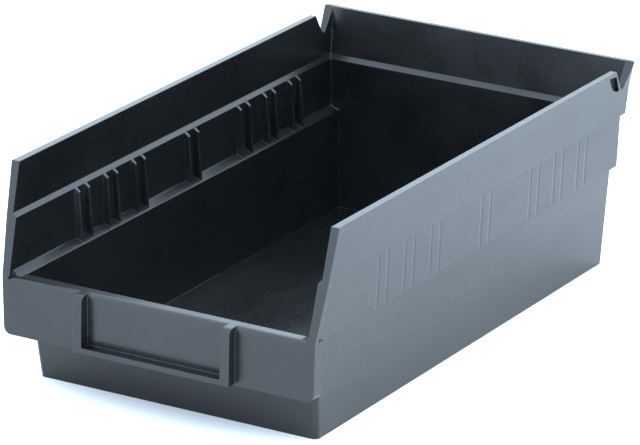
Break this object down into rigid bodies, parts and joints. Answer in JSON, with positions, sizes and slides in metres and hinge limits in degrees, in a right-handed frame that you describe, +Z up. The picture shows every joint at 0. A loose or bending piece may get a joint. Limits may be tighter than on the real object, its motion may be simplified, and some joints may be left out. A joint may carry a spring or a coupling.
{
  "type": "shelf bin",
  "caption": "Open-fronted nesting shelf bin with stepped side walls, divider ribs, a low front panel with a label holder and notched rear corners.",
  "frame": {"origin": "centre of the overall footprint at the level of the underside, on the flat bottom face", "axes": "+Z up, the low open front faces -Y, +X is the bin's width"},
  "size_m": [0.1682, 0.301, 0.1026],
  "materials": {
    "bin_plastic": "semi-gloss moulded black polymer with a fine grain"
  },
  "bodies": {
    "root": {"divider_ribs_left": "bin_plastic", "divider_ribs_right": "bin_plastic", "floor": "bin_plastic", "front_flange_left": "bin_plastic", "front_flange_right": "bin_plastic", "front_lip": "bin_plastic", "front_panel": "bin_plastic", "front_ramp": "bin_plastic", "hang_ear_left": "bin_plastic", "hang_ear_right": "bin_plastic", "label_rail_bottom": "bin_plastic", "label_rail_left": "bin_plastic", "label_rail_right": "bin_plastic", "lower_ledge_left": "bin_plastic", "lower_ledge_right": "bin_plastic", "lower_wall_back": "bin_plastic", "lower_wall_front": "bin_plastic", "lower_wall_left": "bin_plastic", "lower_wall_right": "bin_plastic", "mid_wall_back": "bin_plastic", "mid_wall_left": "bin_plastic", "mid_wall_right": "bin_plastic", "panel_side_left": "bin_plastic", "panel_side_right": "bin_plastic", "upper_ledge_back": "bin_plastic", "upper_ledge_left": "bin_plastic", "upper_ledge_right": "bin_plastic", "upper_wall_back": "bin_plastic", "upper_wall_left": "bin_plastic", "upper_wall_right": "bin_plastic"}
  },
  "joints": []
}
